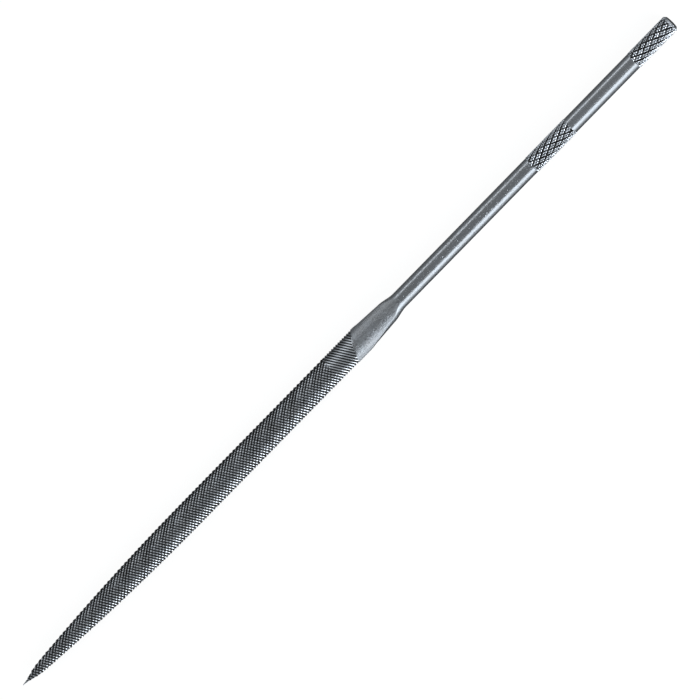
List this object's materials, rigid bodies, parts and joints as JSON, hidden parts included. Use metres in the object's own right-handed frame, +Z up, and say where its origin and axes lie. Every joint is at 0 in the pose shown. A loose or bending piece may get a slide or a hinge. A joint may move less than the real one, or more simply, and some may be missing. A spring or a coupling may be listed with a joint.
{
  "type": "needle file",
  "caption": "Slim steel needle file of crossing (double-convex) section, double cut, tapering to a fine point, with a round shank and a knurled handle end.",
  "frame": {"origin": "on the bench under the middle of the file, at the bottom centre of its box, with the file lying on a wide face", "axes": "+X along the file from the point to the butt, +Z up, square to the wide faces"},
  "size_m": [0.16, 0.005, 0.0033],
  "materials": {
    "cut_steel": "hardened steel, double cut, matt grey in the grooves with bright tooth edges",
    "ground_steel": "satin ground steel",
    "drawn_steel": "smooth drawn steel with a slightly pitted skin",
    "knurled_steel": "rolled diamond knurl, bright on the peaks and dark in the grooves",
    "turned_steel": "bright turned steel with fine rings"
  },
  "bodies": {
    "root": {"blade": "cut_steel", "heel": "ground_steel", "shank": "drawn_steel", "front_knurl": "knurled_steel", "collar": "turned_steel", "rear_knurl": "knurled_steel"}
  },
  "joints": []
}
